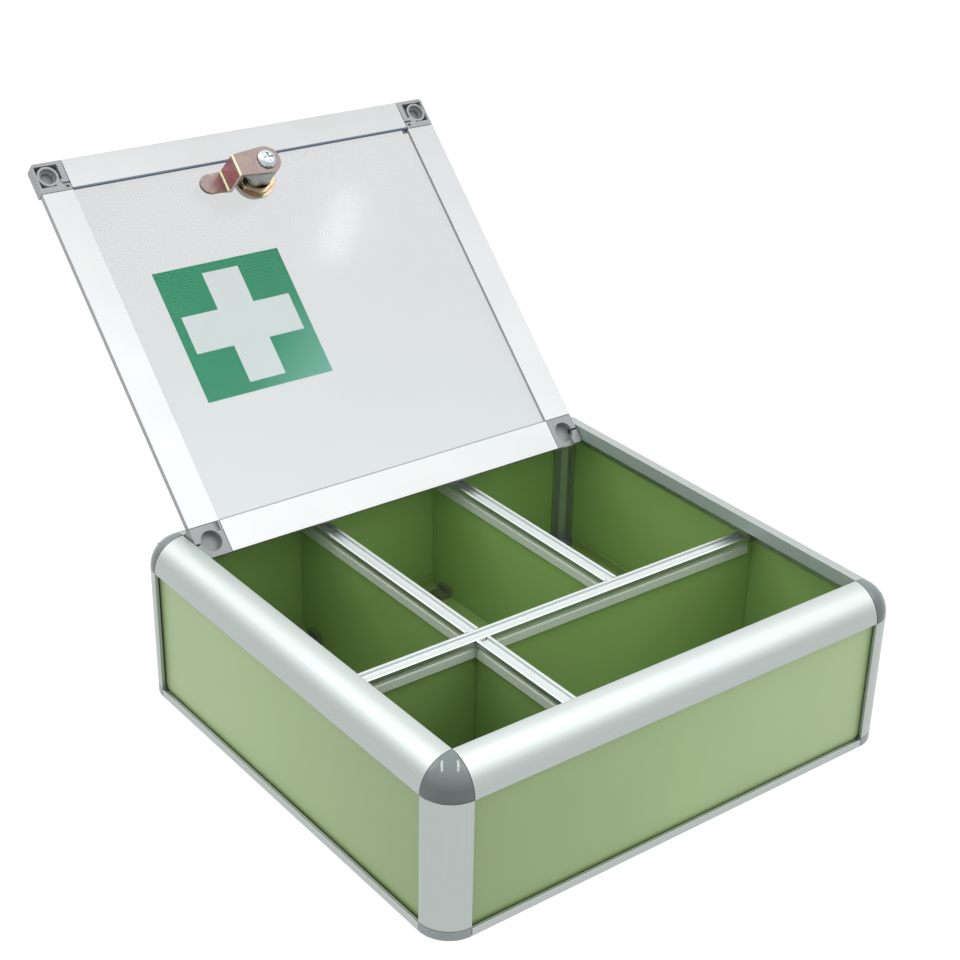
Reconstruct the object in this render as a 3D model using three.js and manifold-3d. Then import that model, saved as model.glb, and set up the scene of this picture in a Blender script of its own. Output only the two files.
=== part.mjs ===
// Wall-mounted first aid box: an extruded aluminium frame with coated panels, a
// clear hinged lid with a cam lock, and removable dividers. Millimetres, +Z up.
// The box lies on its back: z = 0 is the face that goes against the wall, the
// origin is the centre of that face, the lid hinge runs along X near +Y, and the
// lock side is -Y. The lid is drawn open, leaning on the edge of the rear rail.
import * as THREE from "three";
import { mergeVertices } from "three/addons/utils/BufferGeometryUtils.js";
import Module from "manifold-3d";

const wasm = await Module();
wasm.setup();

// ---------- driving dimensions ----------
const W = 300; // overall width, along the hinge
const D = 280; // overall depth, hinge side to lock side
const H = 96; // overall height, wall face to rail top
const R = 18; // radius of the rails and corner posts
const SEG = 14; // facets per quarter round
const GAP = 0.3; // clearance between touching pieces
const SKIN = 1.6; // wall of the quarter-round skin
const LIP = 2; // lip in front of a panel
const PANEL = 3; // panel thickness
const PANEL_IN = 3.1; // outer face to panel face
const LEG = 6.4; // outer face to the inner leg of a panel groove
const LEG_T = 1.3; // thickness of that leg
const FLANGE = 7.6; // height of the inner flange of a top rail
const FLANGE_T = 1.4;
const RAIL_BOTTOM = H - R; // underside of the top rails
const CAP_FOOT = 5.2; // height of a bottom corner cap
const LOW_RAIL = 4.4; // height of a bottom rail
const LOW_LEDGE = 14; // reach of its ledge over the back panel
const GROOVE_FLOOR = 1.2; // floor of the panel groove in a bottom rail
const POST_GROOVE = 13.9; // box corner to the end of the panel groove in a post
const POST_LEG = 15.8; // box corner to the end of a post's inner leg
const SEAL_IN = 2.2; // outer face to the dark strip behind the lips
const SEAL_T = 0.65;

const LONG_DIVIDER_Y = -32; // long divider, runs along X
const CROSS_1_X = -50; // full-depth cross divider
const CROSS_2_X = 43; // rear cross divider
const DIVIDER_T = 3;
const CAPPING_TOP = H - 13.6; // clear of the turning lid's tail
const CAPPING_W = 9;
const DIVIDER_END = 6.4; // outer face to divider end
const CAPPING_END = 11.5; // outer face to the end of a capping
const FOOT_END = 8; // outer face to a divider over the leg of a bottom rail

const LID_CLEAR = 1; // lid to rail flange, all round
const LID_T = 7; // lid frame thickness
const LID_W = W - 2 * R - 2 * LID_CLEAR;
const LID_L = D - 2 * R - 2 * LID_CLEAR;
const MEMBER = 18.5; // width of a lid frame member
const TAIL = 8.7; // lid end to hinge axis
const HINGE_Y = D / 2 - R - LID_CLEAR - TAIL;
const HINGE_Z = H - 3.9;
const LID_OPEN = 135.5; // opening angle at the stop, degrees
const WINDOW_T = 2.2;
const WINDOW_LOW = -1.5; // lid mid-plane to the window's inner face
const PIN_D = 3;
const PIN_GAP = 0.1; // running clearance round a hinge pin

const LOCK_X = -3.5;
const LOCK_FROM_EDGE = 32.2; // free edge of the lid to the lock axis
const CAM_REACH = 36.5; // lock axis to cam tip
const STICKER = 81;
const STICKER_X = -46.9;
const STICKER_FROM_EDGE = 116.2;

// ---------- materials ----------
const mat = (color, roughness, metalness, extra = {}) =>
  new THREE.MeshStandardMaterial({ color, roughness, metalness, ...extra });
const aluminium = mat(0xd3d9db, 0.38, 0.9);
const lidAluminium = mat(0xe9ebec, 0.35, 0.85);
const green = mat(0x9fb287, 0.45, 0.0);
const greyPlastic = mat(0x848b8c, 0.3, 0.0);
const blackRubber = mat(0x25282a, 0.7, 0.0);
const acrylic = mat(0xe8eeee, 0.08, 0.0, { transparent: true, opacity: 0.35 });
const stickerGreen = mat(0x2f9a74, 0.4, 0.0);
const zincGrey = mat(0x9aa0a2, 0.3, 1.0);
const zincYellow = mat(0xc7a777, 0.3, 1.0);
const steel = mat(0xc3c6c8, 0.25, 1.0);

// ---------- helpers ----------
function solid(geometry) {
  const g = geometry.clone();
  g.deleteAttribute("normal");
  g.deleteAttribute("uv");
  const m = mergeVertices(g, 1e-4);
  return new wasm.Manifold(
    new wasm.Mesh({
      numProp: 3,
      vertProperties: new Float32Array(m.attributes.position.array),
      triVerts: new Uint32Array(m.index.array),
    }),
  );
}
function geometryOf(manifold) {
  const m = manifold.getMesh();
  const p = new Float32Array(m.numVert * 3);
  for (let i = 0; i < m.numVert; i++)
    p.set(m.vertProperties.subarray(i * m.numProp, i * m.numProp + 3), i * 3);
  const g = new THREE.BufferGeometry();
  g.setAttribute("position", new THREE.BufferAttribute(p, 3));
  g.setIndex(new THREE.BufferAttribute(new Uint32Array(m.triVerts), 1));
  g.computeVertexNormals();
  return g;
}
const moved = (g, x, y, z) => g.clone().translate(x, y, z);
// a box from corner to corner
function block(x0, x1, y0, y1, z0, z1) {
  return new THREE.BoxGeometry(x1 - x0, y1 - y0, z1 - z0).translate(
    (x0 + x1) / 2,
    (y0 + y1) / 2,
    (z0 + z1) / 2,
  );
}
// a cylinder along X, Y or Z, from a to b along that axis
function rod(axis, r, a, b, c1, c2, n = 32) {
  const g = new THREE.CylinderGeometry(r, r, b - a, n);
  const m = (a + b) / 2;
  if (axis === "x") return g.rotateZ(-Math.PI / 2).translate(m, c1, c2);
  if (axis === "y") return g.translate(c1, m, c2);
  return g.rotateX(Math.PI / 2).translate(c1, c2, m);
}
const arc = (cx, cy, r, a0, a1, n = SEG) =>
  Array.from({ length: n + 1 }, (_, i) => {
    const a = ((a0 + ((a1 - a0) * i) / n) * Math.PI) / 180;
    return [cx + r * Math.cos(a), cy + r * Math.sin(a)];
  });
const outline = (pts) => new THREE.Shape(pts.map(([x, y]) => new THREE.Vector2(x, y)));
function extrude(shape, depth) {
  return new THREE.ExtrudeGeometry(shape, {
    depth,
    bevelEnabled: false,
    curveSegments: 24,
    steps: 1,
  });
}
// section given as [inward, up], drawn along X from -half to half, outer face at y = face
function along(section, half, face, holes = []) {
  const s = outline(section);
  for (const h of holes) s.holes.push(new THREE.Path(h.map(([x, y]) => new THREE.Vector2(x, y))));
  const g = extrude(s, 2 * half);
  g.applyMatrix4(
    new THREE.Matrix4().makeBasis(
      new THREE.Vector3(0, 1, 0),
      new THREE.Vector3(0, 0, 1),
      new THREE.Vector3(1, 0, 0),
    ),
  );
  return g.translate(-half, face, 0);
}
function node(parent, name, geometry, material) {
  const m = new THREE.Mesh(geometry, material);
  m.name = name;
  parent.add(m);
  return m;
}

const box = new THREE.Group();

// ---------- the four sides ----------
// Each side is built as the front one, its outer face at y = -depth / 2, and turned
// into place about Z. "length" is along the wall, "depth" across the box.
const inner = Math.sqrt((R - SKIN) ** 2 - FLANGE_T ** 2);
const ROOF = RAIL_BOTTOM + 4; // top of the panel groove in a top rail
const web = ROOF + 1.2;
const webU = R - Math.sqrt((R - SKIN) ** 2 - (web - RAIL_BOTTOM) ** 2);
const angTop = (Math.atan2(inner, -FLANGE_T) * 180) / Math.PI;
const angWeb = (Math.atan2(web - RAIL_BOTTOM, webU - R) * 180) / Math.PI;
const topRailSection = [
  ...arc(R, RAIL_BOTTOM, R, 180, 90),
  [R, H - FLANGE],
  [R - FLANGE_T, H - FLANGE],
  ...arc(R, RAIL_BOTTOM, R - SKIN, angTop, angWeb, SEG - 2),
  [LEG + LEG_T, web],
  [LEG + LEG_T, RAIL_BOTTOM],
  [LEG, RAIL_BOTTOM],
  [LEG, ROOF],
  [LIP, ROOF],
  [LIP, RAIL_BOTTOM],
].reverse();
const lowRailSection = [
  [0, 0],
  [LEG + LEG_T, 0],
  [LEG + LEG_T, PANEL + GAP],
  [LOW_LEDGE, PANEL + GAP],
  [LOW_LEDGE, LOW_RAIL],
  [LEG + LEG_T, LOW_RAIL],
  [LEG + LEG_T, 10],
  [LEG, 10],
  [LEG, GROOVE_FLOOR],
  [LIP, GROOVE_FLOOR],
  [LIP, LOW_RAIL],
  [0, LOW_RAIL],
];

function side(name, length, depth, turn, pinHole) {
  const g = new THREE.Group();
  g.rotation.z = (turn * Math.PI) / 180;
  box.add(g);
  const half = length / 2 - R - GAP / 2;
  let rail = along(topRailSection, half, -depth / 2);
  if (pinHole !== undefined) {
    // clearance hole for the hinge pin, through the inner flange only
    rail = geometryOf(
      solid(rail).subtract(
        solid(rod("y", PIN_D / 2 + PIN_GAP, -depth / 2 + R - 4, -depth / 2 + R + 1, pinHole, HINGE_Z, 24)),
      ),
    );
  }
  node(g, name + "_top_rail", rail, aluminium);
  node(g, name + "_bottom_rail", along(lowRailSection, half, -depth / 2), aluminium);
  // the panel stands in the grooves of the rails and posts
  const ph = length / 2 - POST_GROOVE - GAP;
  const nh = length / 2 - R - GAP;
  const pz = [GROOVE_FLOOR + GAP, CAP_FOOT + GAP, RAIL_BOTTOM - GAP, ROOF - GAP];
  const edge = [
    [-nh, pz[0]], [nh, pz[0]], [nh, pz[1]], [ph, pz[1]], [ph, pz[2]], [nh, pz[2]],
    [nh, pz[3]], [-nh, pz[3]], [-nh, pz[2]], [-ph, pz[2]], [-ph, pz[1]], [-nh, pz[1]],
  ];
  const panel = extrude(outline(edge), PANEL).rotateX(Math.PI / 2);
  node(g, name + "_panel", panel.translate(0, -depth / 2 + PANEL_IN + PANEL, 0), green);
  // dark strip between the panel face and the lips, all round
  const sh = length / 2 - R + 0.4;
  const sz = [LOW_RAIL - 0.4, RAIL_BOTTOM + 0.4];
  const ring = outline(edge);
  ring.holes.push(
    new THREE.Path(
      [
        [-sh, sz[0] + 2.6], [-sh, sz[1] - 2.6], [-sh + 2.6, sz[1]], [sh - 2.6, sz[1]],
        [sh, sz[1] - 2.6], [sh, sz[0] + 2.6], [sh - 2.6, sz[0]], [-sh + 2.6, sz[0]],
      ].map(([x, z]) => new THREE.Vector2(x, z)),
    ),
  );
  const strip = extrude(ring, SEAL_T).rotateX(Math.PI / 2);
  node(g, name + "_panel_seal", strip.translate(0, -depth / 2 + SEAL_IN + SEAL_T, 0), blackRubber);
}
side("front", W, D, 0);
side("right", D, W, 90, HINGE_Y);
side("rear", W, D, 180);
side("left", D, W, -90, -HINGE_Y);

// ---------- corners ----------
const postSection = [
  ...arc(R, R, R, 180, 270),
  [R, LIP],
  [POST_GROOVE, LIP],
  [POST_GROOVE, LEG],
  [POST_LEG, LEG],
  [POST_LEG, LEG + LEG_T],
  [LEG + LEG_T + 3, LEG + LEG_T],
  [LEG + LEG_T, LEG + LEG_T + 3],
  [LEG + LEG_T, POST_LEG],
  [LEG, POST_LEG],
  [LEG, POST_GROOVE],
  [LIP, POST_GROOVE],
  [LIP, R],
];
const ball = new THREE.SphereGeometry(R, SEG * 4, SEG * 2).rotateX(Math.PI / 2);
function corner(name, sx, sy) {
  // built for the corner at -X -Y with its centre of rounding at the local origin
  const g = new THREE.Group();
  const turn = sx < 0 ? (sy < 0 ? 0 : -90) : sy < 0 ? 90 : 180;
  g.rotation.z = (turn * Math.PI) / 180;
  g.position.set(sx * (W / 2 - R), sy * (D / 2 - R), 0);
  box.add(g);
  // ball cap between two top rails and the post, with a spigot into each rail
  let cap = solid(ball).intersect(
    solid(block(-R - 1, -GAP / 2, -R - 1, -GAP / 2, GAP / 2, R + 1)),
  );
  cap = cap
    .add(solid(block(-10, 8, -10, -4, 7, 12)))
    .add(solid(block(-10, -4, -10, 8, 7, 12)));
  node(g, name + "_ball_cap", geometryOf(cap), greyPlastic).position.z = RAIL_BOTTOM;
  const post = extrude(outline(postSection), RAIL_BOTTOM - GAP / 2 - CAP_FOOT - GAP);
  node(g, name + "_post", post.translate(-R, -R, CAP_FOOT + GAP), aluminium);
  const foot = [...arc(0, 0, R, 180, 270), [-GAP / 2, -R], [-GAP / 2, -GAP / 2], [-R, -GAP / 2]];
  foot.splice(SEG, 1, [-GAP / 2, -Math.sqrt(R * R - 0.0225)]);
  foot.splice(0, 1, [-Math.sqrt(R * R - 0.0225), -GAP / 2]);
  const shape = outline(foot.filter((p, i, a) => !(i >= SEG + 1 && Math.hypot(...p) > 1)));
  node(g, name + "_foot_cap", extrude(shape, CAP_FOOT), greyPlastic);
}
corner("front_left", -1, -1);
corner("front_right", 1, -1);
corner("rear_left", -1, 1);
corner("rear_right", 1, 1);

// ---------- back panel, against the wall, with four screw holes ----------
{
  const x = W / 2 - LEG - LEG_T - GAP;
  const y = D / 2 - LEG - LEG_T - GAP;
  const nx = W / 2 - R - GAP;
  const ny = D / 2 - R - GAP;
  const s = outline([
    [-nx, -y], [nx, -y], [nx, -ny], [x, -ny], [x, ny], [nx, ny],
    [nx, y], [-nx, y], [-nx, ny], [-x, ny], [-x, -ny], [-nx, -ny],
  ]);
  for (const [hx, hy] of [[-105, -85], [105, -85], [-105, 85], [105, 85]]) {
    const p = new THREE.Path();
    p.absarc(hx, hy, 1.95, 0, Math.PI * 2, true);
    s.holes.push(p);
  }
  const g = new THREE.ExtrudeGeometry(s, { depth: PANEL, bevelEnabled: false, curveSegments: 20 });
  node(box, "back_panel", g, green);
}

// ---------- dividers ----------
const PANEL_TOP = CAPPING_TOP - 5.6;
const CLASP = CAPPING_TOP - 10.6; // lower edge of the cappings
const LAP = 42; // height at which the two crossing panels lap
const half = DIVIDER_T / 2;
const slot = half + GAP;
// lower end of a divider, stepped over the leg and ledge of the bottom rail; "edge" is
// half the size of the box across that end and "s" the sign of the end
const foot = (edge, s) => [
  [s * (edge - LOW_LEDGE - GAP), PANEL + GAP],
  [s * (edge - LOW_LEDGE - GAP), LOW_RAIL + GAP],
  [s * (edge - FOOT_END), LOW_RAIL + GAP],
  [s * (edge - FOOT_END), 10 + GAP],
  [s * (edge - DIVIDER_END), 10 + GAP],
  [s * (edge - DIVIDER_END), PANEL_TOP],
];
{
  // long divider, slotted from below for the cross divider
  const s = outline([
    ...foot(W / 2, -1).reverse(),
    [CROSS_1_X - slot, PANEL + GAP],
    [CROSS_1_X - slot, LAP + GAP],
    [CROSS_1_X + slot, LAP + GAP],
    [CROSS_1_X + slot, PANEL + GAP],
    ...foot(W / 2, 1),
  ]);
  const g = extrude(s, DIVIDER_T).rotateX(Math.PI / 2);
  node(box, "long_divider_panel", g.translate(0, LONG_DIVIDER_Y + half, 0), green);
}
function crossPanel(name, x, outlinePoints) {
  const g = extrude(outline(outlinePoints), DIVIDER_T);
  g.applyMatrix4(
    new THREE.Matrix4().makeBasis(
      new THREE.Vector3(0, 1, 0),
      new THREE.Vector3(0, 0, 1),
      new THREE.Vector3(1, 0, 0),
    ),
  );
  node(box, name, g.translate(x - half, 0, 0), green);
}
const passRear = LONG_DIVIDER_Y + CAPPING_W / 2 + GAP;
const passFront = LONG_DIVIDER_Y - CAPPING_W / 2 - GAP;
// slotted from above for the long divider
crossPanel("cross_divider_panel", CROSS_1_X, [
  ...foot(D / 2, -1).reverse(),
  ...foot(D / 2, 1),
  [passRear, PANEL_TOP],
  [passRear, CLASP - 0.5],
  [LONG_DIVIDER_Y + slot, CLASP - 0.5],
  [LONG_DIVIDER_Y + slot, LAP],
  [LONG_DIVIDER_Y - slot, LAP],
  [LONG_DIVIDER_Y - slot, CLASP - 0.5],
  [passFront, CLASP - 0.5],
  [passFront, PANEL_TOP],
]);
// butts on the long divider
crossPanel("rear_divider_panel", CROSS_2_X, [
  [LONG_DIVIDER_Y + slot, PANEL + GAP],
  ...foot(D / 2, 1),
  [passRear, PANEL_TOP],
  [passRear, CLASP - 0.5],
  [LONG_DIVIDER_Y + slot, CLASP - 0.5],
]);

// capping profile on the top edge of a divider, section given as [across, up]
const c = CAPPING_W / 2;
const cappingSection = [
  [-4.3, 0], [-slot, 0], [-slot, 5.3], [slot, 5.3], [slot, 0], [4.3, 0],
  [3.6, 4.2], [2.9, 4.6], [2.9, 7.2], [c, 7.7], [c, 10.1], [c - 0.5, 10.6],
  [2.6, 10.6], [2.1, 8.9], [-2.1, 8.9], [-2.6, 10.6],
  [-c + 0.5, 10.6], [-c, 10.1], [-c, 7.7], [-2.9, 7.2], [-2.9, 4.6], [-3.6, 4.2],
];
function capping(name, x0, x1, y) {
  // drawn along X, from x0 to x1
  node(box, name, along(cappingSection, (x1 - x0) / 2, 0).translate((x0 + x1) / 2, y, CLASP), aluminium);
}
function cappingY(name, x, y0, y1) {
  const g = along(cappingSection, (y1 - y0) / 2, 0).rotateZ(Math.PI / 2);
  node(box, name, g.translate(x, (y0 + y1) / 2, CLASP), aluminium);
}
capping("long_divider_capping", -W / 2 + CAPPING_END, W / 2 - CAPPING_END, LONG_DIVIDER_Y);
cappingY("cross_divider_front_capping", CROSS_1_X, -D / 2 + CAPPING_END, LONG_DIVIDER_Y - c - GAP);
// the rear cappings butt on the long one
cappingY("cross_divider_rear_capping", CROSS_1_X, LONG_DIVIDER_Y + c + GAP, D / 2 - CAPPING_END);
cappingY("rear_divider_capping", CROSS_2_X, LONG_DIVIDER_Y + c + GAP, D / 2 - CAPPING_END);

// foot clips that hold the rear ends of the cross dividers to the floor
function clip(name, x) {
  const x1 = x - half - GAP; // against the left face of the divider
  const y1 = D / 2 - LOW_LEDGE - 1;
  const g = solid(block(x1 - 7, x1, y1 - 11, y1, 3 + GAP, 5))
    .add(solid(block(x1 - 1.8, x1, y1 - 11, y1, 3 + GAP, 9)))
    .add(solid(rod("z", 1.9, 4.8, 6, x1 - 4.4, y1 - 5.5, 20)));
  node(box, name, geometryOf(g), greyPlastic);
}
clip("cross_divider_foot_clip", CROSS_1_X);
clip("rear_divider_foot_clip", CROSS_2_X);

// ---------- lid, built closed about its hinge axis and turned open ----------
// Local frame: origin on the hinge axis at mid-width, y = -(distance from the axis
// to the free edge) along the lid, z = 0 the lid's mid-plane, +z its outer face.
const lid = new THREE.Group();
lid.position.set(0, HINGE_Y, HINGE_Z);
lid.rotation.x = (-LID_OPEN * Math.PI) / 180;
box.add(lid);
const tail = TAIL;
const free = TAIL - LID_L;
const t = LID_T / 2;
const wHigh = WINDOW_LOW + WINDOW_T;
const ROUND = 4; // rounding of the frame's outer edge, on its outer face
const memberSection = [
  [0, -t], [MEMBER, -t], [MEMBER, WINDOW_LOW - GAP], [13.5, WINDOW_LOW - GAP],
  [13.5, wHigh + GAP], [15.2, wHigh + GAP], [15.2, t], ...arc(ROUND, t - ROUND, ROUND, 90, 180, 8),
];
const memberBore = [[1.4, -2.1], [1.4, -0.2], [3.7, 2.1], [12.1, 2.1], [12.1, -2.1]];
function member(name, length, turn, x, y) {
  const g = new THREE.Group();
  g.rotation.z = (turn * Math.PI) / 180;
  g.position.set(x, y, 0);
  lid.add(g);
  node(g, name, along(memberSection, length / 2 - MEMBER - GAP / 2, 0, [memberBore]), lidAluminium);
}
const midY = (tail + free) / 2;
member("lid_frame_free_side", LID_W, 0, 0, free);
member("lid_frame_hinge_side", LID_W, 180, 0, tail);
member("lid_frame_right", LID_L, 90, LID_W / 2, midY);
member("lid_frame_left", LID_L, -90, -LID_W / 2, midY);

// corner blocks: x and y run inward from the lid's corner, z = -t is the inner face
function cornerBlock(name, sx, sy, hinge) {
  const b = MEMBER - GAP / 2;
  const face = outline([...arc(2.2, 2.2, 2.2, 180, 270, 6), [b, 0], [b, b], [0, b]]);
  let s = solid(extrude(face, 2 * t).translate(0, 0, -t))
    .add(solid(block(b - 1, b + 9, 3.9, 11.7, -1.7, 1.7)))
    .add(solid(block(3.9, 11.7, b - 1, b + 9, -1.7, 1.7)));
  // seat for the corner of the window
  s = s.subtract(solid(block(13.5, b + 1, 13.5, b + 1, WINDOW_LOW - GAP, wHigh + GAP)));
  const cx = hinge ? 9.6 : 7.5;
  const cy = hinge ? 8.9 : 8.6;
  if (hinge) {
    // round recess, and the bore of the hinge pin from the outer side into it
    s = s.subtract(solid(rod("z", 6, -t - 1, 1.4, cx, cy, 40)));
    s = s.subtract(solid(rod("x", PIN_D / 2 + PIN_GAP, -1, 6, TAIL, 0, 24)));
    s = s.subtract(solid(block(-1, 5, TAIL - 0.6, TAIL + 0.6, -t - 1, 0)));
    if (sx > 0) s = s.subtract(solid(block(cx - 3.4, cx + 4.2, -1, cy, -t - 1, -1.2)));
    else s = s.subtract(solid(block(b - 4.2, b - 1.2, b - 5.2, b + 1, -t - 1, -2)));
  } else {
    // ring boss standing in a square pocket, with a stepped bore
    // the pocket is filled towards the middle of the lid
    const pocket = solid(block(1.4, 15, 2, 15, -t - 1, 1.6))
      .subtract(solid(rod("z", 6.1, -t - 1, 2, cx, cy, 40)))
      .subtract(solid(block(10.4, 16, 11.2, 16, -t - 2, 2)));
    s = s
      .subtract(pocket)
      .subtract(solid(rod("z", 4.8, -t - 1, -0.6, cx, cy, 36)))
      .subtract(solid(rod("z", 3.7, -t - 1, 1.8, cx, cy, 36)))
      .subtract(solid(block(b - 4.6, b + 1, 13.4, 14.4, -t - 1, -1.2)))
      .subtract(solid(block(b - 3.2, b - 1.2, 15.4, 17, -t - 1, -2.2)));
  }
  const flip = new THREE.Matrix4().makeScale(-sx, sy > 0 ? -1 : 1, 1);
  const g = geometryOf(s).applyMatrix4(flip);
  if (-sx * (sy > 0 ? -1 : 1) < 0) {
    const ix = g.index.array;
    for (let i = 0; i < ix.length; i += 3) [ix[i + 1], ix[i + 2]] = [ix[i + 2], ix[i + 1]];
    g.computeVertexNormals();
  }
  node(lid, name, g, greyPlastic).position.set((sx * LID_W) / 2, sy > 0 ? tail : free, 0);
}
cornerBlock("lid_corner_free_left", -1, -1, false);
cornerBlock("lid_corner_free_right", 1, -1, false);
cornerBlock("lid_corner_hinge_left", -1, 1, true);
cornerBlock("lid_corner_hinge_right", 1, 1, true);

// hinge pins, turning in the flanges of the side rails
for (const [name, sx] of [["hinge_pin_left", -1], ["hinge_pin_right", 1]]) {
  const a = LID_W / 2 - 3.5;
  const b = W / 2 - R + 3;
  node(
    lid,
    name,
    sx > 0 ? rod("x", PIN_D / 2, a, b, 0, 0, 24) : rod("x", PIN_D / 2, -b, -a, 0, 0, 24),
    steel,
  );
}

// clear window in the groove of the frame, bored for the lock
const lockY = free + LOCK_FROM_EDGE;
{
  const x = LID_W / 2 - 13.8;
  const s = outline([
    [-x, free + 13.8], [x, free + 13.8], [x, tail - 13.8], [-x, tail - 13.8],
  ]);
  const hole = new THREE.Path();
  hole.absarc(LOCK_X, lockY, 8.9, 0, Math.PI * 2, true);
  s.holes.push(hole);
  const g = new THREE.ExtrudeGeometry(s, { depth: WINDOW_T, bevelEnabled: false, curveSegments: 32 });
  node(lid, "lid_window", g.translate(0, 0, WINDOW_LOW), acrylic);
}
{
  const y = free + STICKER_FROM_EDGE;
  const z = wHigh + 0.3;
  node(
    lid,
    "cross_sticker",
    block(STICKER_X - STICKER / 2, STICKER_X + STICKER / 2, y - STICKER / 2, y + STICKER / 2, z, z + 0.4),
    stickerGreen,
  );
}

// ---------- cam lock ----------
// Local frame of the lock: its axis is z, z = 0 the lid's mid-plane.
const lock = new THREE.Group();
lock.position.set(LOCK_X, lockY, 0);
lid.add(lock);
const bodyEnd = -22.5; // inner end of the lock body
{
  // flanged head outside the window, flat-sided body through it
  let s = solid(rod("z", 10.2, wHigh + GAP, 3.7, 0, 0, 48))
    .add(solid(rod("z", 8.6, bodyEnd, wHigh + 1, 0, 0, 48)))
    .intersect(
      solid(block(-12, 12, -12, 12, wHigh + GAP, 6)).add(solid(block(-12, 12, -7.7, 7.7, bodyEnd - 1, wHigh + 1))),
    )
    .subtract(solid(rod("z", 6.3, bodyEnd - 1, 7, 0, 0, 40)));
  node(lock, "lock_body", geometryOf(s), zincGrey);
}
{
  // flanged hexagon nut that clamps the window
  const low = WINDOW_LOW - GAP; // face of the window
  const hex = new THREE.CylinderGeometry(12.1, 12.1, 4, 6).rotateX(Math.PI / 2).translate(0, 0, low - 3.4);
  const chamfer = new THREE.LatheGeometry(
    [[0, -6], [10.7, -6], [12.3, -4.6], [12.3, -1], [0, -1]].map(([r, z]) => new THREE.Vector2(r, low + z)),
    36,
  ).rotateX(Math.PI / 2);
  const cham = solid(chamfer);
  let s = solid(hex).intersect(cham);
  s = s
    .add(solid(rod("z", 12.6, low - 1.6, low, 0, 0, 48)))
    .subtract(solid(rod("z", 8.9, low - 8, 2, 0, 0, 48)));
  node(lock, "lock_nut", geometryOf(s), zincYellow);
}
{
  // turning plug: key slot in its outer face, square on its inner end for the cam
  const s = solid(rod("z", 6, bodyEnd - GAP, 3.4, 0, 0, 40))
    .add(solid(block(-3.4, 3.4, -3.4, 3.4, bodyEnd - 2.3, bodyEnd)))
    .subtract(solid(block(-0.9, 0.9, -4.2, 4.2, -1, 6)))
    .subtract(solid(rod("z", 1.9, bodyEnd - 4, bodyEnd + 6, 0, 0, 20)));
  node(lock, "lock_plug", geometryOf(s), zincGrey);
}
{
  // cranked cam: flat at the plug, a steep step towards the lid, flat tip. It points to -X.
  const lo = bodyEnd - 2.6; // far face of the flat at the plug
  const th = 2;
  const up = 18; // height of the crank
  const profile = outline([
    [9, lo], [9, lo + th], [-18.4, lo + th], [-18.9, lo + th + up], [-CAM_REACH - 1, lo + th + up],
    [-CAM_REACH - 1, lo + up], [-21.8, lo + up], [-20.9, lo + up - 0.9], [-20.4, lo + 0.9], [-19.5, lo],
  ].reverse());
  const side = extrude(profile, 24).rotateX(Math.PI / 2).translate(0, 12, 0);
  const plan = outline([
    ...arc(0, 0, 8.6, -90, 90, 16),
    [-19, 6.9], [-25, 6.1],
    ...arc(-CAM_REACH + 6, 0, 6, 90, 270, 16),
    [-25, -6.1], [-19, -6.9],
  ]);
  const s = solid(side)
    .intersect(solid(extrude(plan, 40).translate(0, 0, -34)))
    .subtract(solid(block(-3.7, 3.7, -3.7, 3.7, lo - 1, lo + th + 1)));
  node(lock, "lock_cam", geometryOf(s), zincYellow);
}
{
  // pan-head cross-recess screw that holds the cam
  const top = bodyEnd - 2.6 - GAP;
  const head = new THREE.LatheGeometry(
    [[0, top - 3.1], [2.4, top - 3], [4.4, top - 2.3], [5.7, top - 1.1], [6, top - 0.1], [6, top], [0, top]].map(
      ([r, z]) => new THREE.Vector2(r, z),
    ),
    40,
  ).rotateX(Math.PI / 2);
  let s = solid(head);
  s = s
    .add(solid(rod("z", 1.5, top - 0.5, bodyEnd + 4, 0, 0, 20)))
    .subtract(solid(block(-3, 3, -0.65, 0.65, top - 4, top - 1.6)))
    .subtract(solid(block(-0.65, 0.65, -3, 3, top - 4, top - 1.6)));
  node(lock, "cam_screw", geometryOf(s), steel);
}

export default box;
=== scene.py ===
import math

import bpy
from mathutils import Matrix, Vector

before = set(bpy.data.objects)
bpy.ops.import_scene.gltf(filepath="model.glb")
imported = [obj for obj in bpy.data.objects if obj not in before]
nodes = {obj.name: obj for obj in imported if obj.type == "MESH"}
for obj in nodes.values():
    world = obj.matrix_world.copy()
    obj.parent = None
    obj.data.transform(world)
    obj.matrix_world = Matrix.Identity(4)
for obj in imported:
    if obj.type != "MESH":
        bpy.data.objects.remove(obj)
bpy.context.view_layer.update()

# ---------------------------------------------------------------- camera
F_PX, CX, CY = 1891.7, 569.7, 534.1
AZ, EL, ROLL = -40.593, 28.357, 2.814
TX, TY, DIST = 0.028111, 0.017921, 1.009258


def camera_axes(az, el, roll):
    az, el, roll = (math.radians(v) for v in (az, el, roll))
    back = Vector((math.sin(az) * math.cos(el), -math.cos(az) * math.cos(el), math.sin(el)))
    right = (-back).cross(Vector((0, 0, 1))).normalized()
    up = right.cross(-back)
    c, s = math.cos(roll), math.sin(roll)
    return c * right + s * up, -s * right + c * up, back


right, up, back = camera_axes(AZ, EL, ROLL)
cam_data = bpy.data.cameras.new("camera")
cam = bpy.data.objects.new("camera", cam_data)
bpy.context.scene.collection.objects.link(cam)
place = Vector((0, 0, 0.09)) + back * DIST + right * TX + up * TY
cam.matrix_world = Matrix(
    (
        (right.x, up.x, back.x, place.x),
        (right.y, up.y, back.y, place.y),
        (right.z, up.z, back.z, place.z),
        (0, 0, 0, 1),
    )
)
cam_data.sensor_width = 36
cam_data.lens = F_PX * 36 / 960
cam_data.shift_x = (480 - CX) / 960
cam_data.shift_y = (CY - 480) / 960
cam_data.clip_start, cam_data.clip_end = 0.02, 60
bpy.context.scene.camera = cam
bpy.context.scene.view_settings.view_transform = "Standard"


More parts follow.
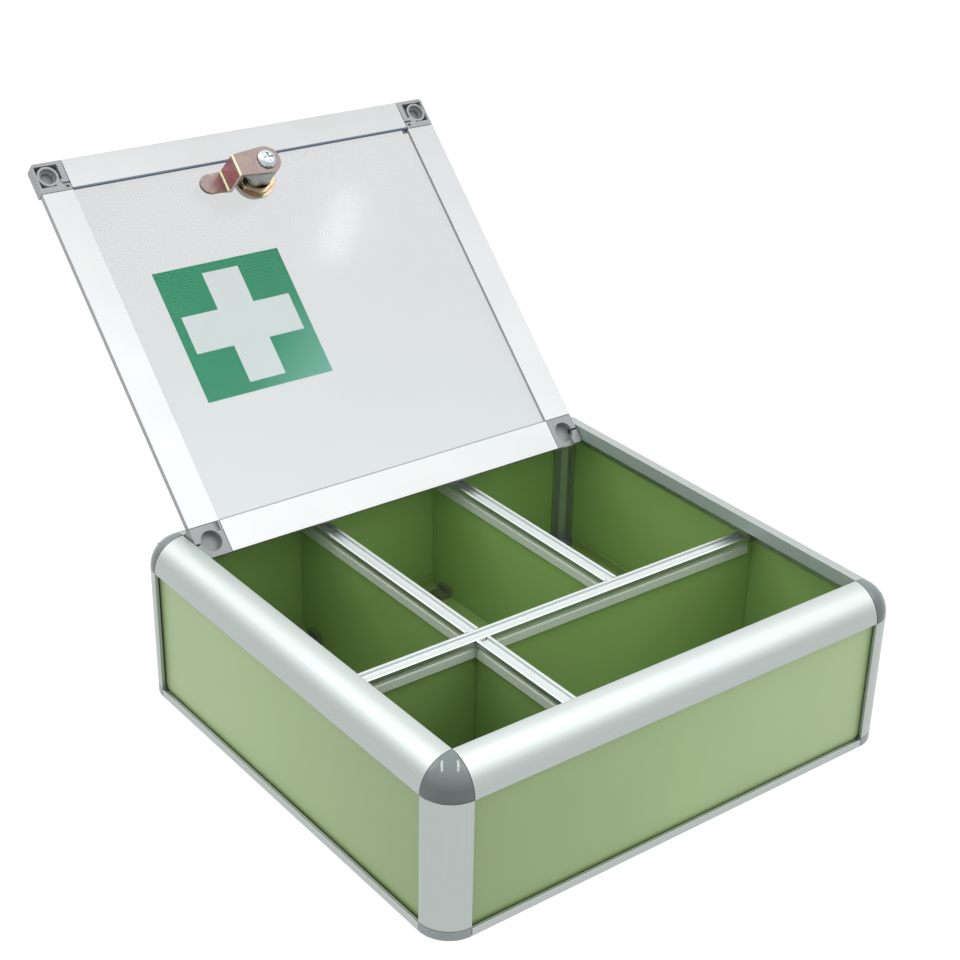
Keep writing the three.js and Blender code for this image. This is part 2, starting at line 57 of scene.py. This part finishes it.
# ---------------------------------------------------------------- node helper
class Tree:
    """A small helper for building a material's nodes."""

    def __init__(self, name):
        self.mat = bpy.data.materials.new(name)
        self.mat.use_nodes = True
        self.nt = self.mat.node_tree
        self.nt.nodes.clear()
        self.out = self.nt.nodes.new("ShaderNodeOutputMaterial")
        self.bsdf = self.nt.nodes.new("ShaderNodeBsdfPrincipled")
        self.nt.links.new(self.bsdf.outputs[0], self.out.inputs[0])
        tc = self.nt.nodes.new("ShaderNodeTexCoord")
        self.co = tc.outputs["Object"]
        self.normal = tc.outputs["Normal"]

    def put(self, socket, value):
        if isinstance(value, bpy.types.NodeSocket):
            self.nt.links.new(value, socket)
        else:
            socket.default_value = value

    def set(self, **kw):
        for k, v in kw.items():
            self.put(self.bsdf.inputs[k.replace("_", " ")], v)

    def math(self, op, a, b=0.0, clamp=False):
        n = self.nt.nodes.new("ShaderNodeMath")
        n.operation = op
        n.use_clamp = clamp
        self.put(n.inputs[0], a)
        self.put(n.inputs[1], b)
        return n.outputs[0]

    def split(self, v):
        n = self.nt.nodes.new("ShaderNodeSeparateXYZ")
        self.put(n.inputs[0], v)
        return n.outputs[0], n.outputs[1], n.outputs[2]

    def scaled(self, x, y, z, rot=(0, 0, 0), offset=(0, 0, 0)):
        n = self.nt.nodes.new("ShaderNodeMapping")
        self.put(n.inputs["Vector"], self.co)
        n.inputs["Location"].default_value = offset
        n.inputs["Rotation"].default_value = rot
        n.inputs["Scale"].default_value = (x, y, z)
        return n.outputs[0]

    def noise(self, vec, scale=1.0, detail=2.0, rough=0.5, distortion=0.0):
        n = self.nt.nodes.new("ShaderNodeTexNoise")
        self.put(n.inputs["Vector"], vec)
        n.inputs["Scale"].default_value = scale
        n.inputs["Detail"].default_value = detail
        n.inputs["Roughness"].default_value = rough
        n.inputs["Distortion"].default_value = distortion
        return n.outputs["Fac"]

    def ramp(self, fac, *stops):
        n = self.nt.nodes.new("ShaderNodeValToRGB")
        self.put(n.inputs[0], fac)
        el = n.color_ramp.elements
        while len(el) > 1:
            el.remove(el[0])
        el[0].position = stops[0][0]
        el[0].color = rgba(stops[0][1])
        for p, c in stops[1:]:
            e = el.new(p)
            e.color = rgba(c)
        return n.outputs[0]

    def span(self, fac, a, b, lo, hi):
        n = self.nt.nodes.new("ShaderNodeMapRange")
        n.clamp = True
        self.put(n.inputs[0], fac)
        n.inputs[1].default_value = a
        n.inputs[2].default_value = b
        n.inputs[3].default_value = lo
        n.inputs[4].default_value = hi
        return n.outputs[0]

    def mix(self, fac, a, b, blend="MIX"):
        n = self.nt.nodes.new("ShaderNodeMix")
        n.data_type = "RGBA"
        n.blend_type = blend
        self.put(n.inputs[0], fac)
        for s, v in ((n.inputs[6], a), (n.inputs[7], b)):
            if isinstance(v, bpy.types.NodeSocket):
                self.nt.links.new(v, s)
            else:
                s.default_value = rgba(v)
        return n.outputs[2]

    def bump(self, height, distance, strength=1.0):
        n = self.nt.nodes.new("ShaderNodeBump")
        n.inputs["Strength"].default_value = strength
        n.inputs["Distance"].default_value = distance
        self.put(n.inputs["Height"], height)
        self.nt.links.new(n.outputs[0], self.bsdf.inputs["Normal"])
        return n


def rgba(c):
    if isinstance(c, (int, float)):
        c = (c, c, c)
    return tuple(c) + (1.0,) if len(c) == 3 else tuple(c)


def lin(r, g, b):
    """sRGB 0-255 to linear"""
    out = []
    for v in (r, g, b):
        v /= 255
        out.append(v / 12.92 if v <= 0.04045 else ((v + 0.055) / 1.055) ** 2.4)
    return tuple(out)


# ---------------------------------------------------------------- materials
def aluminium(name, axis, base, dark, rough):
    """satin anodised extrusion: die lines run along the profile, a faint blotch over them"""
    t = Tree(name)
    fine = [2600.0] * 3
    fine["xyz".index(axis)] = 6.0
    coarse = [420.0] * 3
    coarse["xyz".index(axis)] = 1.6
    lines = t.noise(t.scaled(*fine), 1.0, 2.0, 0.6)
    bands = t.noise(t.scaled(*coarse), 1.0, 1.0, 0.5)
    cloud = t.noise(t.co, 26.0, 3.0, 0.55)
    grain = t.noise(t.co, 5200.0, 1.0, 0.5)
    fac = t.math("ADD", t.math("MULTIPLY", lines, 0.55), t.math("MULTIPLY", bands, 0.45))
    col = t.ramp(fac, (0.30, dark), (0.68, base))
    col = t.mix(t.span(cloud, 0.35, 0.7, 0.0, 0.05), col, tuple(v * 0.9 for v in base))
    metal = 1.0
    if axis != "z":
        # painted reflection: the inner flange round the opening is tinted grey-green and made less metallic,
        # standing in for the green interior it reflects
        x, y, z = t.split(t.co)
        across, edge = (y, 0.12225) if axis == "x" else (x, 0.13225)
        flange = t.math("LESS_THAN", t.math("ABSOLUTE", across), edge)
        flange = t.math("MULTIPLY", flange, t.math("GREATER_THAN", z, 0.085))
        col = t.mix(flange, col, (0.32, 0.38, 0.36))
        # the inner leg and ledge at the foot are coated like the sheets
        inner = 0.1337 if axis == "x" else 0.1437
        ledge = t.math("LESS_THAN", t.math("ABSOLUTE", across), inner)
        ledge = t.math("MULTIPLY", ledge, t.math("LESS_THAN", z, 0.03))
        col = t.mix(ledge, col, (0.22, 0.33, 0.10))
        metal = t.math("MULTIPLY", t.span(flange, 0.0, 1.0, 1.0, 0.25), t.span(ledge, 0.0, 1.0, 1.0, 0.0))
    t.set(
        Base_Color=col,
        Metallic=metal,
        Roughness=t.math(
            "ADD",
            t.span(lines, 0.3, 0.7, rough - 0.02, rough + 0.025),
            t.span(cloud, 0.3, 0.7, -0.015, 0.02),
        ),
    )
    h = t.math("ADD", t.math("MULTIPLY", lines, 0.4), t.math("MULTIPLY", grain, 0.6))
    t.bump(h, 0.00002, 0.16)
    return t.mat


ALU = (0.458, 0.496, 0.480)
ALU_DARK = (0.430, 0.468, 0.454)
CAP_TOP = 0.0824
alu = {a: aluminium("anodised aluminium along " + a, a, ALU, ALU_DARK, 0.42) for a in "xyz"}


def capping_metal(name, axis):
    """divider capping: satin head, and a knurled matt skirt below it"""
    t = Tree(name)
    x, y, z = t.split(t.co)
    skirt = t.math("LESS_THAN", z, CAP_TOP - 0.0033)
    fine = [2600.0] * 3
    fine["xyz".index(axis)] = 6.0
    lines = t.noise(t.scaled(*fine), 1.0, 2.0, 0.6)
    pitch = 2 * math.pi / 0.0017
    run = x if axis == "x" else y
    w1 = t.math("SINE", t.math("MULTIPLY", t.math("ADD", run, z), pitch))
    w2 = t.math("SINE", t.math("MULTIPLY", t.math("SUBTRACT", run, z), pitch))
    knurl = t.math("MULTIPLY", w1, w2)
    head = t.ramp(lines, (0.30, (0.55, 0.59, 0.58)), (0.68, (0.61, 0.65, 0.64)))
    matt = t.ramp(t.math("ADD", t.math("MULTIPLY", knurl, 0.5), 0.5), (0.25, (0.31, 0.37, 0.30)), (0.75, (0.66, 0.73, 0.63)))
    t.set(
        Base_Color=t.mix(skirt, head, matt),
        Metallic=t.span(skirt, 0.0, 1.0, 1.0, 0.35),
        Roughness=t.math("ADD", t.span(skirt, 0.0, 1.0, 0.38, 0.55), t.span(lines, 0.3, 0.7, -0.02, 0.025)),
    )
    h = t.math("ADD", t.math("MULTIPLY", knurl, t.math("MULTIPLY", skirt, 0.9)), t.math("MULTIPLY", lines, 0.25))
    t.bump(h, 0.00006, 0.5)
    return t.mat


cap_metal = {a: capping_metal("divider capping along " + a, a) for a in "xy"}

LID = (0.418, 0.430, 0.429)
LID_DARK = (0.400, 0.412, 0.411)


def green_panel():
    """coated sheet, semi-matt, with a fine orange peel"""
    t = Tree("sage green coated sheet")
    cloud = t.noise(t.co, 14.0, 3.0, 0.55)
    peel = t.noise(t.co, 900.0, 2.0, 0.5)
    grain = t.noise(t.co, 4200.0, 2.0, 0.6)
    col = t.ramp(cloud, (0.30, (0.212, 0.325, 0.094)), (0.72, (0.232, 0.350, 0.106)))
    col = t.mix(t.span(grain, 0.35, 0.65, 0.0, 0.10), col, (0.25, 0.345, 0.145))
    # painted light: the sheets are coloured darker towards the near corner and brighter and bluer towards the far
    # one, standing in for how the light falls across the box
    x, y, z = t.split(t.co)
    drift = t.span(t.math("ADD", x, y), -0.29, 0.23, 0.0, 1.0)
    painted_light_gradient = t.ramp(drift, (0.0, (0.74, 0.74, 0.74)), (0.56, (1.02, 1.0, 1.07)), (1.0, (1.20, 1.17, 1.24)))
    col = t.mix(1.0, col, painted_light_gradient, "MULTIPLY")
    # the inner faces are a shade greener than the outer ones
    ox = t.math("GREATER_THAN", t.math("ABSOLUTE", x), 0.1455)
    oy = t.math("GREATER_THAN", t.math("ABSOLUTE", y), 0.1355)
    outer = t.math("MAXIMUM", ox, oy)
    col = t.mix(1.0, col, t.mix(outer, (0.95, 1.04, 0.96), (1.0, 1.0, 1.0)), "MULTIPLY")
    # painted sheen: the outer faces are coloured paler and bluer away from the near corner, where they are seen at a
    # grazing angle
    dust_haze_and_sheen = t.ramp(drift, (0.0, (0.87, 0.89, 0.86)), (0.30, (1.05, 1.05, 1.20)), (0.60, (1.15, 1.06, 1.50)))
    col = t.mix(outer, col, t.mix(1.0, col, dust_haze_and_sheen, "MULTIPLY"))
    t.set(
        Base_Color=col,
        Roughness=t.math("ADD", t.span(cloud, 0.3, 0.7, 0.33, 0.39), t.span(grain, 0.35, 0.65, -0.03, 0.03)),
    )
    t.bsdf.inputs["IOR"].default_value = 1.85
    h = t.math("ADD", t.math("MULTIPLY", peel, 0.75), t.math("MULTIPLY", grain, 0.25))
    t.bump(h, 0.00005, 0.28)
    return t.mat


green = green_panel()


def grey_plastic(name, base, rough, painted_top_light=None):
    t = Tree(name)
    cloud = t.noise(t.co, 60.0, 3.0, 0.5)
    grain = t.noise(t.co, 3400.0, 2.0, 0.6)
    col = t.ramp(cloud, (0.3, tuple(v * 0.93 for v in base)), (0.7, tuple(v * 1.05 for v in base)))
    if painted_top_light is not None:
        # painted light: the moulding is coloured paler towards its top, where more light falls, and darker below
        x, y, z = t.split(t.co)
        col = t.mix(1.0, col, t.ramp(t.span(z, painted_top_light[0], painted_top_light[1], 0.0, 1.0), (0.0, 0.80), (0.35, 0.82), (1.0, 1.42)), "MULTIPLY")
    t.set(
        Base_Color=col,
        Roughness=t.math("ADD", t.span(cloud, 0.3, 0.7, rough - 0.03, rough + 0.03), t.span(grain, 0.3, 0.7, -0.02, 0.03)),
    )
    t.bump(grain, 0.00003, 0.22)
    return t.mat


cap_plastic = grey_plastic("grey moulded plastic", (0.100, 0.120, 0.120), 0.11, (0.078, 0.094))
foot_plastic = grey_plastic("grey moulded plastic, foot", (0.20, 0.222, 0.228), 0.34)
clip_plastic = grey_plastic("dark moulded plastic, clip", (0.130, 0.165, 0.085), 0.4)
block_plastic = grey_plastic("grey moulded plastic, lid block", (0.238, 0.252, 0.252), 0.34)


def black_strip():
    t = Tree("black strip")
    grain = t.noise(t.co, 2400.0, 3.0, 0.6)
    t.set(Base_Color=t.ramp(grain, (0.3, 0.010), (0.7, 0.022)), Roughness=t.span(grain, 0.3, 0.7, 0.55, 0.7))
    t.bump(grain, 0.00004, 0.3)
    return t.mat


black = black_strip()


# the lid's own axes: along the lid from the hinge, and through its thickness
HINGE = Vector((0, 0.1123, 0.0921))
A = math.radians(-135.5)
ALONG = Vector((0, math.cos(A), math.sin(A)))
OUT = Vector((0, -math.sin(A), math.cos(A)))


def lid_axes(t):
    """x, distance along the lid, and height over its mid-plane, in metres, as sockets"""
    x, y, z = t.split(t.co)

    def dot(v):
        return t.math(
            "ADD",
            t.math("MULTIPLY", y, v.y),
            t.math("ADD", t.math("MULTIPLY", z, v.z), -(HINGE.y * v.y + HINGE.z * v.z)),
        )

    return x, dot(ALONG), dot(OUT)


def acrylic():
    t = Tree("clear acrylic sheet")
    x, v, w = lid_axes(t)
    dust_haze_and_sheen = t.noise(t.co, 9.0, 2.0, 0.5)
    fine = t.noise(t.co, 700.0, 2.0, 0.5)
    # a film of dust, thicker towards the hinge and the left
    dust = t.math("ADD", t.math("SUBTRACT", v, t.math("MULTIPLY", x, 0.35)), t.math("MULTIPLY", dust_haze_and_sheen, 0.05))
    t.set(
        Base_Color=t.ramp(
            t.span(dust, -0.16, 0.07, 0.0, 1.0), (0.0, (0.008, 0.035, 0.055)), (0.5, (0.02, 0.10, 0.105)), (1.0, (0.20, 0.28, 0.30))
        ),
        Roughness=t.math("ADD", t.span(dust_haze_and_sheen, 0.3, 0.7, 0.07, 0.10), t.span(fine, 0.3, 0.7, 0.0, 0.015)),
    )
    t.bsdf.inputs["Alpha"].default_value = 0.20
    t.bsdf.inputs["IOR"].default_value = 1.49
    return t.mat


window = acrylic()

def lid_profile(name, across):
    """lid extrusion whose die lines run along x, or along the lid"""
    t = Tree(name)
    x, v, w = lid_axes(t)
    n = t.nt.nodes.new("ShaderNodeCombineXYZ")
    t.put(n.inputs[0], t.math("MULTIPLY", x, 6.0 if across == "x" else 2600.0))
    t.put(n.inputs[1], t.math("MULTIPLY", v, 2600.0 if across == "x" else 6.0))
    t.put(n.inputs[2], t.math("MULTIPLY", w, 2600.0))
    lines = t.noise(n.outputs[0], 1.0, 2.0, 0.6)
    cloud = t.noise(t.co, 22.0, 3.0, 0.55)
    col = t.ramp(lines, (0.30, LID_DARK), (0.68, LID))
    col = t.mix(t.span(cloud, 0.35, 0.7, 0.0, 0.06), col, tuple(c * 0.9 for c in LID))
    # painted light: the frame is coloured a little brighter towards the hinge, where it catches more light
    near = t.math("ADD", t.span(v, -0.233, 0.0, 0.83, 1.05), t.span(x, -0.13, 0.13, 0.02, 0.04))
    grey = t.nt.nodes.new("ShaderNodeCombineXYZ")
    for k in range(3):
        t.put(grey.inputs[k], near)
    col = t.mix(1.0, col, grey.outputs[0], "MULTIPLY")
    # painted shade: the outer side faces of the frame are coloured darker than its front faces
    painted_shade_rim = t.math("GREATER_THAN", t.math("ABSOLUTE", x), 0.13085)
    col = t.mix(painted_shade_rim, col, (0.33, 0.345, 0.345))
    if across == "x":
        # painted shade: a dark band where the free side meets the window, standing in for the shaded step down to
        # the window
        painted_shade_joint = t.math("MULTIPLY", t.math("GREATER_THAN", v, -0.2159), t.math("LESS_THAN", v, -0.2140))
        col = t.mix(painted_shade_joint, col, (0.09, 0.115, 0.155))
    t.set(
        Base_Color=col,
        Metallic=1.0,
        Roughness=t.math("ADD", t.span(lines, 0.3, 0.7, 0.46, 0.50), t.span(cloud, 0.3, 0.7, -0.015, 0.02)),
    )
    t.bump(lines, 0.00002, 0.14)
    return t.mat


lid_x = lid_profile("lid aluminium along x", "x")
lid_v = lid_profile("lid aluminium along the lid", "v")


def sticker():
    """green film with the common white cross of a first aid box"""
    t = Tree("green film with a white cross")
    x, v, w = lid_axes(t)
    dx = t.math("ABSOLUTE", t.math("SUBTRACT", x, -0.0469))
    dv = t.math("ABSOLUTE", t.math("SUBTRACT", v, -0.1171))

    def inside(a, half):
        return t.math("LESS_THAN", a, half)

    arm1 = t.math("MULTIPLY", inside(dx, 0.0348), inside(dv, 0.01155))
    arm2 = t.math("MULTIPLY", inside(dx, 0.01155), inside(dv, 0.0348))
    cross = t.math("MAXIMUM", arm1, arm2)
    cloud = t.noise(t.co, 40.0, 3.0, 0.5)
    grain = t.noise(t.co, 2600.0, 2.0, 0.6)
    g = t.ramp(cloud, (0.3, (0.008, 0.275, 0.108)), (0.7, (0.012, 0.305, 0.122)))
    wht = t.ramp(cloud, (0.3, (0.84, 0.88, 0.865)), (0.7, (0.87, 0.91, 0.895)))
    col = t.mix(cross, g, wht)
    # painted reflection: the film is coloured paler towards its corner beside the hinge
    u = t.math("ADD", t.math("ADD", x, v), 0.164)
    pale = t.span(u, 0.025, 0.085, 0.0, 1.0)
    col = t.mix(t.math("MULTIPLY", pale, t.math("SUBTRACT", 1.0, cross)), col, (0.22, 0.55, 0.41))
    # painted light: the film glows a little by emission, standing in for light that comes through the thin film from
    # behind
    t.set(Base_Color=col, Roughness=t.span(grain, 0.3, 0.7, 0.44, 0.52), Emission_Color=col)
    t.bsdf.inputs["Emission Strength"].default_value = 0.18
    t.bsdf.inputs["Specular IOR Level"].default_value = 0.2
    t.bump(grain, 0.00002, 0.2)
    return t.mat


film = sticker()


def zinc_plain(name, base, rough):
    t = Tree(name)
    spots = t.noise(t.co, 420.0, 4.0, 0.6)
    grain = t.noise(t.co, 4000.0, 2.0, 0.6)
    col = t.ramp(spots, (0.32, tuple(c * 0.78 for c in base)), (0.68, base))
    t.set(
        Base_Color=col,
        Metallic=1.0,
        Roughness=t.math("ADD", t.span(spots, 0.3, 0.7, rough - 0.05, rough + 0.06), t.span(grain, 0.3, 0.7, -0.02, 0.02)),
    )
    t.bump(grain, 0.00002, 0.25)
    return t.mat


zinc = zinc_plain("zinc plated die casting", (0.41, 0.435, 0.43), 0.27)
steel = zinc_plain("bright zinc plated steel", (0.54, 0.58, 0.59), 0.22)
# painted shade: the hinge pins are coloured very dark, standing in for the shaded recess they sit in
pin_steel_painted_shade = zinc_plain("shade_darkened steel, hinge pins", (0.11, 0.115, 0.115), 0.45)


def yellow_zinc(name, stops, rough, bends=()):
    """iridescent passivated zinc: the tint drifts between yellow, pink and green"""
    t = Tree(name)
    drift = t.noise(t.co, 120.0, 2.0, 0.5, 0.6)
    spots = t.noise(t.co, 260.0, 2.0, 0.5)
    lw = t.nt.nodes.new("ShaderNodeLayerWeight")
    lw.inputs["Blend"].default_value = 0.35
    fac = t.math("ADD", t.math("MULTIPLY", drift, 0.8), t.math("MULTIPLY", lw.outputs["Facing"], 0.35))
    col = t.ramp(fac, *stops)
    # colours that follow the bends of the cam, by position across the lid: the pink band is the zinc's own tint; the
    # two pale bands beside it are painted highlights along the bends
    for lo, hi, soft, c in bends:
        x, v, w = lid_axes(t)
        on = t.math("MULTIPLY", t.span(x, lo - soft, lo + soft, 0.0, 1.0), t.span(x, hi - soft, hi + soft, 1.0, 0.0))
        col = t.mix(on, col, c)
    t.set(
        Base_Color=col,
        Metallic=1.0,
        Roughness=t.span(spots, 0.3, 0.7, rough - 0.03, rough + 0.04),
    )
    t.bump(spots, 0.00002, 0.04)
    return t.mat


cam_zinc = yellow_zinc(
    "iridescent zinc, cam",
    ((0.22, (0.26, 0.24, 0.14)), (0.36, (0.190, 0.150, 0.138)), (0.56, (0.172, 0.135, 0.130)), (0.78, (0.28, 0.28, 0.15))),
    0.27,
    (
        (-0.0244, -0.0239, 0.00005, (0.44, 0.190, 0.210)),
        (-0.0253, -0.0244, 0.00005, (0.50, 0.48, 0.32)),
        (-0.0239, -0.0230, 0.00005, (0.60, 0.57, 0.42)),
    ),
)
nut_zinc = yellow_zinc(
    "iridescent zinc, nut",
    ((0.22, (0.40, 0.38, 0.18)), (0.40, (0.38, 0.25, 0.20)), (0.55, (0.38, 0.38, 0.19)), (0.72, (0.26, 0.30, 0.17))),
    0.20,
)


# ---------------------------------------------------------------- dress the CAD nodes
def material_of(name):
    if name.startswith("lid_frame"):
        return lid_x if name.endswith("_side") else lid_v
    if name.endswith("_post"):
        return alu["z"]
    if name.endswith(("_top_rail", "_bottom_rail")):
        return alu["x" if name.startswith(("front", "rear")) else "y"]
    if name.endswith("_capping"):
        return cap_metal["x" if name.startswith("long") else "y"]
    if name.endswith("_panel_seal"):
        return black
    if name.endswith("_panel"):
        return green
    if name.endswith("_ball_cap"):
        return cap_plastic
    if name.endswith("_foot_cap"):
        return foot_plastic
    if name.endswith("_clip"):
        return clip_plastic
    if name.startswith("lid_corner"):
        return block_plastic
    if name == "lid_window":
        return window
    if name == "cross_sticker":
        return film
    if name in ("lock_body", "lock_plug"):
        return zinc
    if name == "lock_cam":
        return cam_zinc
    if name == "lock_nut":
        return nut_zinc
    if name.startswith("hinge_pin"):
        return pin_steel_painted_shade
    return steel


BEVEL = {
    "_panel": 0.0002,
    "_panel_seal": 0.0001,
    "lock_": 0.00012,
    "lock_cam": 0.00030,
    "cam_screw": 0.00010,
    "lid_window": 0.00012,
    "cross_sticker": 0.00003,
    "hinge_pin": 0.0001,
}


def dress(name, o):
    o.data.materials.clear()
    o.data.materials.append(material_of(name))
    width = 0.00022
    for k, v in BEVEL.items():
        if name.startswith(k) or name.endswith(k):
            width = v
    o.data.shade_smooth()
    w = o.modifiers.new("weld", "WELD")
    w.merge_threshold = 2e-6
    d = o.modifiers.new("flat faces", "DECIMATE")
    d.decimate_type = "DISSOLVE"
    d.angle_limit = math.radians(0.6)
    b = o.modifiers.new("edge radius", "BEVEL")
    b.width = width
    b.segments = 2
    b.limit_method = "ANGLE"
    b.angle_limit = math.radians(34)
    b.use_clamp_overlap = True
    b.harden_normals = False
    n = o.modifiers.new("normals", "WEIGHTED_NORMAL")
    n.mode = "FACE_AREA"
    n.weight = 50
    n.keep_sharp = True


for name, o in sorted(nodes.items()):
    dress(name, o)


# ---------------------------------------------------------------- stage and light
def floor_mesh():
    me = bpy.data.meshes.new("floor")
    s = 9.0
    me.from_pydata([(-s, -s, 0), (s, -s, 0), (s, s, 0), (-s, s, 0)], [], [(0, 1, 2, 3)])
    o = bpy.data.objects.new("floor", me)
    bpy.context.scene.collection.objects.link(o)
    o.location.z = -0.0004
    t = Tree("pale floor")
    t.set(Base_Color=(0.05, 0.05, 0.05, 1), Roughness=0.9)
    t.bsdf.inputs["Emission Color"].default_value = (1, 1, 1, 1)
    t.bsdf.inputs["Emission Strength"].default_value = 0.99
    t.bsdf.inputs["Specular IOR Level"].default_value = 0.0
    me.materials.append(t.mat)
    return o


floor = floor_mesh()

world = bpy.data.worlds.new("studio")
bpy.context.scene.world = world
world.use_nodes = True
nt = world.node_tree
nt.nodes.clear()
wo = nt.nodes.new("ShaderNodeOutputWorld")
bg = nt.nodes.new("ShaderNodeBackground")
nt.links.new(bg.outputs[0], wo.inputs[0])
tc = nt.nodes.new("ShaderNodeTexCoord")
sep = nt.nodes.new("ShaderNodeSeparateXYZ")
nt.links.new(tc.outputs["Generated"], sep.inputs[0])
cr = nt.nodes.new("ShaderNodeValToRGB")
nt.links.new(sep.outputs[2], cr.inputs[0])
el = cr.color_ramp.elements
el[0].position, el[0].color = 0.0, (0.50, 0.50, 0.505, 1)
el[1].position, el[1].color = 0.85, (1.0, 1.0, 1.0, 1)
e = el.new(0.28)
e.color = (0.62, 0.625, 0.63, 1)
nt.links.new(cr.outputs[0], bg.inputs[0])
bg.inputs[1].default_value = 1.7


def softbox(name, direction, distance, size, radiance, target=(0, 0.05, 0.08), colour=(1, 1, 1)):
    d = Vector(direction).normalized()
    la = bpy.data.lights.new(name, "AREA")
    la.shape = "RECTANGLE"
    la.size, la.size_y = size
    la.energy = radiance * math.pi * size[0] * size[1]
    la.color = colour
    o = bpy.data.objects.new(name, la)
    bpy.context.scene.collection.objects.link(o)
    o.location = Vector(target) + d * distance
    o.rotation_mode = "QUATERNION"
    o.rotation_quaternion = d.to_track_quat("Z", "Y")
    return o


softbox("key", (0.56, -0.43, 0.71), 2.4, (1.7, 1.7), 0.95)
softbox("back fill", (-0.45, 0.62, 0.64), 2.6, (1.8, 1.2), 1.4)


def tube(name, direction, along, radiance):
    """a long narrow light overhead; only glossy surfaces show it"""
    d = Vector(direction).normalized()
    x = Vector(along)
    x = (x - d * x.dot(d)).normalized()
    y = d.cross(x)
    o = softbox(name, d, 1.2, (0.72, 0.10), radiance, (-0.132, -0.122, 0.09))
    o.rotation_quaternion = Matrix(((x.x, y.x, d.x), (x.y, y.y, d.y), (x.z, y.z, d.z))).to_quaternion()
    o.visible_diffuse = False
    return o


streak = softbox("streak", (0.5129, -0.3159, 0.7982), 2.0, (0.11, 0.035), 20.0, (0.039, 0.2269, 0.2068))
sz_ = Vector((0.5129, -0.3159, 0.7982)).normalized()
sx_ = Vector((0.060, 0.083, 0.028))
sx_ = (sx_ - sz_ * sx_.dot(sz_)).normalized()
sy_ = sz_.cross(sx_)
streak.rotation_quaternion = Matrix(((sx_.x, sy_.x, sz_.x), (sx_.y, sy_.y, sz_.y), (sx_.z, sy_.z, sz_.z))).to_quaternion()
streak.visible_diffuse = False

tube("tube left", (-0.41, 0.20, 0.89), (-0.42, -0.47, -0.08), 13.0)
tube("tube right", (0.17, -0.28, 0.945), (-0.35, -0.56, -0.11), 13.0)
